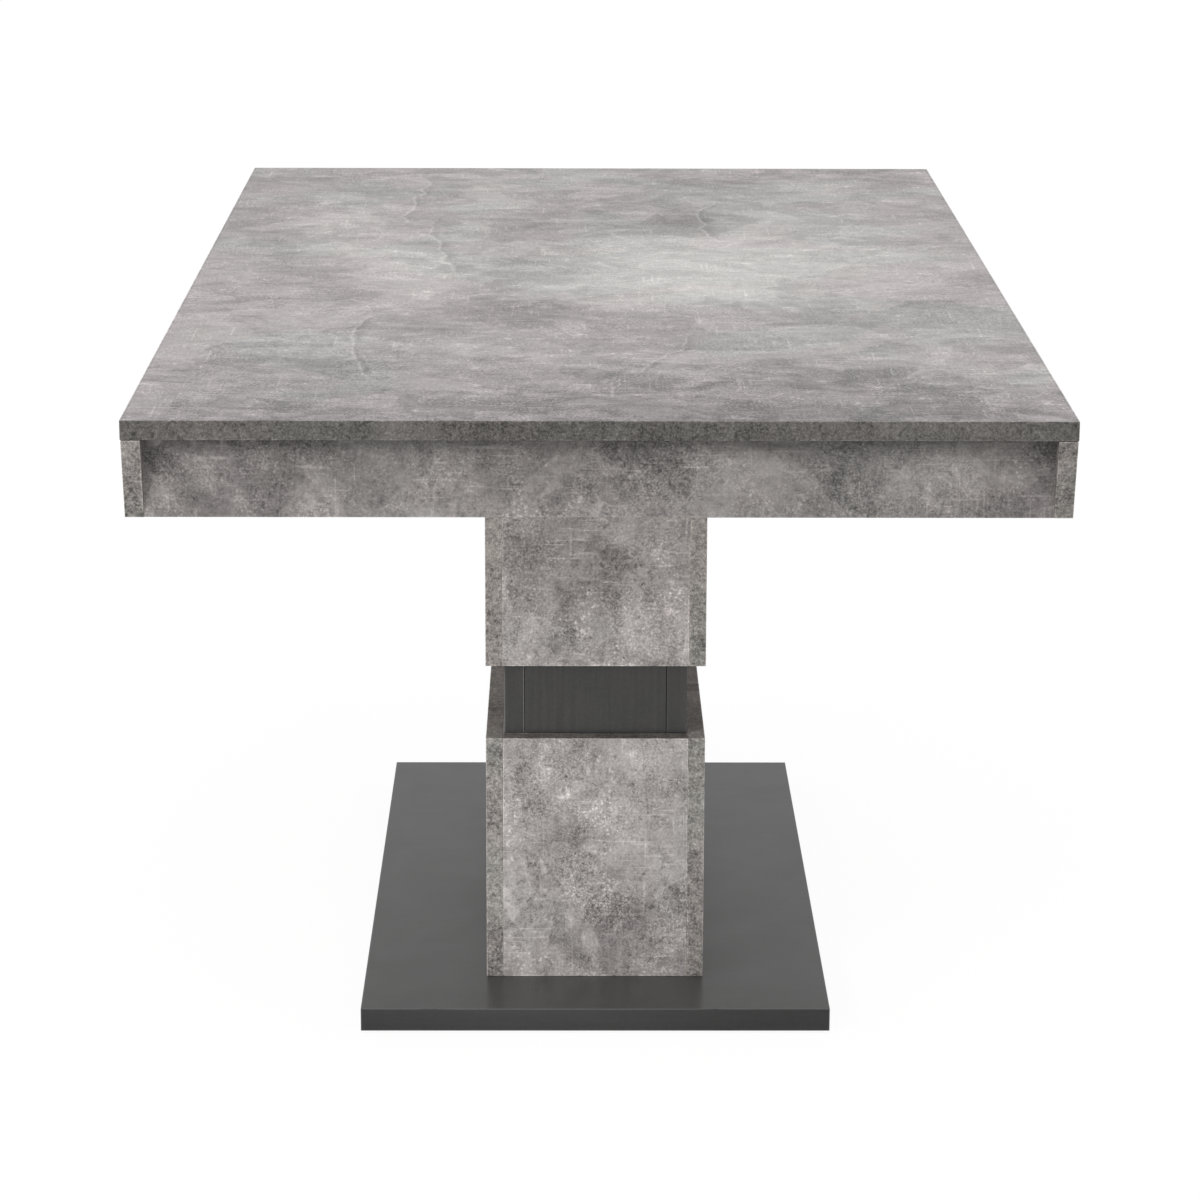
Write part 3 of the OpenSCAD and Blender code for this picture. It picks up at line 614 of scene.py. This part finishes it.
# The first and last spots are painted shade at the panel's two ends, in the recess corners beside the side
# aprons; the others are clouds of the print
PANEL_CLOUDS_AND_CORNER_SHADE = (
    (-0.97, 0.50, 0.06, 0.60, -0.22), (-0.42, 0.00, 0.10, 0.80, -0.08), (0.05, 0.10, 0.15, 0.90, -0.24),
    (0.34, 0.20, 0.13, 0.75, 0.28), (0.54, -0.10, 0.05, 0.80, -0.10), (0.74, 0.00, 0.22, 0.95, 0.46),
    (-0.68, 0.00, 0.14, 0.70, 0.10), (0.24, -0.60, 0.10, 0.50, 0.16), (0.98, 0.30, 0.03, 0.90, -0.26),
)
TOP_CLOUDS = (
    (0.24, 0.02, 0.46, 0.36, 0.62), (0.56, 0.46, 0.32, 0.24, 0.26), (-0.42, 0.02, 0.20, 0.34, 0.30),
    (-0.28, 0.58, 0.14, 0.18, 0.22), (0.34, -0.94, 0.85, 0.32, -0.42), (-0.68, -0.94, 0.44, 0.36, -0.34),
    (-0.14, -0.31, 0.18, 0.14, -0.26), (0.22, 0.88, 0.34, 0.14, -0.10), (0.26, 0.47, 0.11, 0.12, -0.22),
    (-0.90, 0.68, 0.18, 0.26, -0.08), (0.86, -0.20, 0.16, 0.12, -0.10), (0.86, 0.92, 0.14, 0.10, -0.16),
    (-0.66, 0.30, 0.22, 0.32, 0.28), (0.72, 0.06, 0.24, 0.26, 0.26), (0.10, 0.80, 1.10, 0.26, 0.07),
)
BAND_CLOUDS = ((-0.02, -1.0, 0.34, 0.1, -0.16), (0.70, -1.0, 0.40, 0.1, 0.09))
FRONT_CLOUDS = {"lower_block": LOWER_FRONT_CLOUDS, "upper_block": UPPER_FRONT_CLOUDS}

# Trowel ridges on the top, from and to in metres, with bow and width
TOP_RIDGES = (
    ((0.160, 0.57), (0.160, 0.18), -0.030, 3.5 * MM),
    ((-0.190, 0.42), (-0.150, -0.07), -0.012, 3.5 * MM),
    ((-0.245, -0.22), (-0.205, -0.66), -0.028, 3.5 * MM),
    ((-0.225, 0.80), (-0.250, 0.28), 0.020, 4.0 * MM),
    ((0.100, -0.35), (0.030, -0.60), 0.012, 3.0 * MM),
)

# How light each print is, and how strong its light and dark are on the top and the leaf
BLOCK_GAIN = {"lower_block": 1.07, "upper_block": 1.26}
BLOCK_SIDE_GAIN = 1.15
BLOCK_BAND_GAIN = {"lower_block": 1.12, "upper_block": 1.51}
APRON_BAND_GAIN = {"left": 1.62, "right": 1.42}
PANEL_GAIN = 0.79
TOP_GAIN = 1.21
TOP_CONTRAST = 0.90
TOP_BAND_GAIN = 0.68
LEAF_GAIN = 1.18
LEAF_CONTRAST = 0.85
LEAF_BAND_GAIN = 0.78


def dress_block(block, seed):
    """The six boards of one column block.

    The left board has bands on all its edges. The right one has the board's paler print on its top and
    bottom edges instead of a band: painted light, so that the ledge on the right of the core looks lit
    from the right.
    """
    gain = BLOCK_GAIN[block]
    band_gain = BLOCK_BAND_GAIN[block]
    # The right board's print on its top edge is painted light on the ledge right of the core
    for side, step, pick in (("left", 0.1, edges_of("x")), ("right", 0.2, ends_along_y)):
        name = f"{block}_{side}_board"
        face = concrete(name, seed + step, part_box(name), BLOCK_SIDE_GAIN)
        edge = band(name + "_band", seed + step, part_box(name), gain=band_gain)
        dress(name, face, edge, pick=pick)
        rounded(name, BOARD_ROUND)
    for side, step, clouds in (("front", 0.3, FRONT_CLOUDS[block]), ("rear", 0.4, ())):
        name = f"{block}_{side}_board"
        face = concrete(name, seed + step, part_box(name), gain, clouds=clouds)
        edge = band(name + "_band", seed + step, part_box(name), "y", gain=band_gain)
        dress(name, face, edge, pick=edges_of("y"))
        rounded(name, BOARD_ROUND)
    for side, step in (("top", 0.5), ("bottom", 0.6)):
        name = f"{block}_{side}_board"
        dress(name, concrete(name, seed + step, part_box(name), gain))
        rounded(name, BOARD_ROUND)


def dress_aprons():
    """The long aprons and the panels across the ends."""
    for side, seed in (("left", 3.1), ("right", 3.2)):
        name = f"side_apron_{side}"
        edge = band(name + "_band", seed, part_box(name), gain=APRON_BAND_GAIN[side])
        dress(name, concrete(name, seed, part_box(name)), edge, pick=edges_of("x"))
        rounded(name, BOARD_ROUND)
    for side, seed, clouds in (("front", 3.3, PANEL_CLOUDS_AND_CORNER_SHADE), ("rear", 3.4, ())):
        name = f"end_panel_{side}"
        face = concrete(name, seed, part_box(name), PANEL_GAIN, clouds=clouds)
        edge = band(name + "_band", seed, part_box(name), "y")
        dress(name, face, edge, pick=edges_of("y"))
        rounded(name, BOARD_ROUND)


def dress_top():
    """The two halves of the top, which share one print, and the stored leaf."""
    box = (Vector((cad_low.x, cad_low.y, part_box("top_front_board")[0].z)), Vector(cad_high))
    decor = concrete("top_decor", 4.0, box, TOP_GAIN, TOP_CONTRAST, LYING, TOP_CLOUDS, TOP_RIDGES)
    edge = band("top_band", 4.2, box, "z", TOP_BAND_GAIN, BAND_CLOUDS)
    for half in ("front", "rear"):
        dress(f"top_{half}_board", decor, edge, pick=edges_of("z"))
        dress(f"top_{half}_edge_bands", decor, edge, pick=edges_of("z"))
        rounded(f"top_{half}_edge_bands", BAND_ROUND)
    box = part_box("insert_leaf")
    decor = concrete("leaf_decor", 4.6, box, LEAF_GAIN, LEAF_CONTRAST, LYING)
    edge = band("leaf_band", 4.7, box, "z", LEAF_BAND_GAIN)
    dress("insert_leaf", decor, edge, pick=edges_of("z"))
    dress("leaf_edge_bands", edge)
    rounded("leaf_edge_bands", BAND_ROUND)


# Each core board's seed and how light its edges are made, partly as wear and partly as painted highlight,
# most on the left board
CORE_BOARDS = {
    "core_left_board": (5.1, 1.0),
    "core_right_board": (5.2, 0.15),
    "core_front_panel": (5.3, 0.15),
    "core_rear_panel": (5.4, 0.4),
}

RUNNERS = ("runner_front_left", "runner_front_right", "runner_rear_left", "runner_rear_right")
ZINC_FITTINGS = (
    "tie_rods", "tie_rod_flange_nuts", "guide_rail_screws", "pinion_axles", "runner_clips_front",
    "runner_clips_rear", "top_front_screws", "top_rear_screws", "latch_plates", "latch_pivots",
    "latch_keepers", "latch_lever_left", "latch_lever_right",
)
NYLON_FITTINGS = ("apron_glides", "pinion_left", "pinion_right", "racks_front", "racks_rear")
BLACK_FITTINGS = ("floor_glides", "latch_knob_left", "latch_knob_right")
ROUNDED_FITTINGS = (
    "runner_clips_front", "runner_clips_rear", "latch_plates", "latch_keepers", "latch_lever_left",
    "latch_lever_right", "travel_stops",
)

dress_block("lower_block", 1.0)
dress_block("upper_block", 2.0)
dress_aprons()
dress_top()

dress("base_plate", anthracite("base_plate", 5.0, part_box("base_plate")))
rounded("base_plate", BOARD_ROUND)
for name, (seed, lightened) in CORE_BOARDS.items():
    dress(name, anthracite(name, seed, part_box(name), UPRIGHT, lightened))
    rounded(name, CORE_ROUND)

dress("carrier_board", chipboard("chipboard", 6.0))
dress_all((*RUNNERS, "top_dowels"), beech("beech_along", 7.0, "y"))
dress("corner_blocks", beech("beech_upright", 7.1, "z"))
dress("leaf_dowels", beech("beech_across", 7.2, "x"))
dress_all(ZINC_FITTINGS, metal("zinc_plated_steel", 8.0, ZINC, 0.28))
aluminium = metal("aluminium", 8.1, ALUMINIUM, 0.30, (700.0, 12.0, 700.0))
dress_all(("guide_rail_left", "guide_rail_right"), aluminium)
dress_all(NYLON_FITTINGS, plastic("nylon", 9.0, NYLON, 0.42))
dress_all(BLACK_FITTINGS, plastic("black_plastic", 9.1, BLACK, 0.40))
dress("travel_stops", plastic("rubber", 9.2, RUBBER, 0.70))

for name in (*RUNNERS, "corner_blocks"):
    rounded(name, BEECH_ROUND)
for name in ROUNDED_FITTINGS:
    rounded(name, FITTING_ROUND, 2)


# ---- Studio ----

# Angles of the camera are in radians, and the sun's spread is in degrees
CAMERA_PLACE = (-0.0291, -4.3131, 1.5095)
CAMERA_PITCH = 0.25955
CAMERA_YAW = 0.00844
CAMERA_ROLL = 0.00326
LENS_MM = 115.05
SENSOR_MM = 36.0

WHITE = (1.0, 1.0, 1.0, 1.0)
FLOOR_REACH = 30.0
FLOOR_GREY = (0.35, 0.35, 0.35, 1.0)
FLOOR_GLOW = 1.25
FLOOR_GLOW_SHARE = 0.75
WORLD_STRENGTH = 0.735
SUN_DIRECTION = (-0.45, 0.55, -1.0)
SUN_STRENGTH = 0.44
SUN_SPREAD = 60.0


def make_camera():
    """The photo's view: from the front end, a little above the top."""
    data = bpy.data.cameras.new("camera")
    data.lens = LENS_MM
    data.sensor_width = SENSOR_MM
    data.clip_end = 100.0
    made = bpy.data.objects.new("camera", data)
    turn = Matrix.Rotation(-CAMERA_YAW, 4, "Z") @ Matrix.Rotation(math.pi / 2 - CAMERA_PITCH, 4, "X")
    made.matrix_world = Matrix.Translation(CAMERA_PLACE) @ turn @ Matrix.Rotation(CAMERA_ROLL, 4, "Z")
    bpy.context.scene.collection.objects.link(made)
    bpy.context.scene.camera = made


def soft_box(name, place, target, size, power):
    """A rectangular soft light that faces a target point."""
    data = bpy.data.lights.new(name, "AREA")
    data.shape = "RECTANGLE"
    data.size, data.size_y = size
    data.energy = power
    made = bpy.data.objects.new(name, data)
    made.location = place
    made.rotation_euler = (Vector(target) - Vector(place)).to_track_quat("-Z", "Y").to_euler()
    made.visible_camera = False
    bpy.context.scene.collection.objects.link(made)


def column_light(place, rise, cone, power):
    """A soft spot low in front, aimed so that it lights the column and stays off the apron.

    rise and cone are in degrees.
    """
    data = bpy.data.lights.new("column_light", "SPOT")
    data.energy = power
    data.spot_size = math.radians(cone)
    data.spot_blend = 0.35
    data.shadow_soft_size = 0.06
    made = bpy.data.objects.new("column_light", data)
    made.location = place
    level = Vector((-place[0], -place[1], 0.0)).normalized()
    aim = level + Vector((0.0, 0.0, math.tan(math.radians(rise))))
    made.rotation_euler = aim.to_track_quat("-Z", "Y").to_euler()
    made.visible_camera = False
    made.visible_glossy = False
    bpy.context.scene.collection.objects.link(made)


def seen_or_lit(tree, seen, lit):
    """A shader that shows seen to the camera and gives lit to every other ray."""
    chooser = tree.nodes.new("ShaderNodeMixShader")
    tree.links.new(tree.nodes.new("ShaderNodeLightPath").outputs["Is Camera Ray"], chooser.inputs[0])
    tree.links.new(lit, chooser.inputs[1])
    tree.links.new(seen, chooser.inputs[2])
    return chooser.outputs[0]


def floor_material():
    """Pale paint that glows for the camera, so that it looks white, and is clear from below."""
    material = bpy.data.materials.new("floor")
    material.use_nodes = True
    tree = material.node_tree
    tree.nodes.clear()
    paint = tree.nodes.new("ShaderNodeBsdfDiffuse")
    paint.inputs["Color"].default_value = FLOOR_GREY
    light = tree.nodes.new("ShaderNodeEmission")
    light.inputs["Strength"].default_value = FLOOR_GLOW
    blend = tree.nodes.new("ShaderNodeMixShader")
    blend.inputs[0].default_value = FLOOR_GLOW_SHARE
    tree.links.new(paint.outputs[0], blend.inputs[1])
    tree.links.new(light.outputs[0], blend.inputs[2])
    sheet = tree.nodes.new("ShaderNodeMixShader")
    tree.links.new(tree.nodes.new("ShaderNodeNewGeometry").outputs["Backfacing"], sheet.inputs[0])
    tree.links.new(seen_or_lit(tree, blend.outputs[0], paint.outputs[0]), sheet.inputs[1])
    tree.links.new(tree.nodes.new("ShaderNodeBsdfTransparent").outputs[0], sheet.inputs[2])
    output = tree.nodes.new("ShaderNodeOutputMaterial")
    tree.links.new(sheet.outputs[0], output.inputs["Surface"])
    return material


def make_floor():
    """A wide, plain pale floor with a soft trace of the table's shadow."""
    reach = FLOOR_REACH
    corners = [(-reach, -reach, 0), (reach, -reach, 0), (reach, reach, 0), (-reach, reach, 0)]
    mesh = bpy.data.meshes.new("floor")
    mesh.from_pydata(corners, [], [(0, 1, 2, 3)])
    mesh.materials.append(floor_material())
    made = bpy.data.objects.new("floor", mesh)
    bpy.context.scene.collection.objects.link(made)


def make_world():
    """A pale room all round: white to look at, and a softer light on the table."""
    world = bpy.data.worlds.new("studio")
    bpy.context.scene.world = world
    world.use_nodes = True
    tree = world.node_tree
    tree.nodes.clear()
    white = tree.nodes.new("ShaderNodeBackground")
    soft = tree.nodes.new("ShaderNodeBackground")
    white.inputs["Color"].default_value = WHITE
    soft.inputs["Color"].default_value = WHITE
    soft.inputs["Strength"].default_value = WORLD_STRENGTH
    output = tree.nodes.new("ShaderNodeOutputWorld")
    tree.links.new(seen_or_lit(tree, white.outputs[0], soft.outputs[0]), output.inputs["Surface"])


def make_sun():
    """Soft light from above, the same all over the floor."""
    data = bpy.data.lights.new("overhead", "SUN")
    data.energy = SUN_STRENGTH
    data.angle = math.radians(SUN_SPREAD)
    made = bpy.data.objects.new("overhead", data)
    made.rotation_euler = Vector(SUN_DIRECTION).to_track_quat("-Z", "Y").to_euler()
    bpy.context.scene.collection.objects.link(made)


make_camera()
make_floor()
make_world()
make_sun()
soft_box("front_key", place=(-2.6, -3.0, 2.4), target=(0.0, -0.6, 0.6), size=(1.4, 1.2), power=45.0)
column_light(place=(-0.3, -1.9, 0.15), rise=9.5, cone=33.0, power=41.0)
bpy.context.scene.view_settings.view_transform = "Standard"
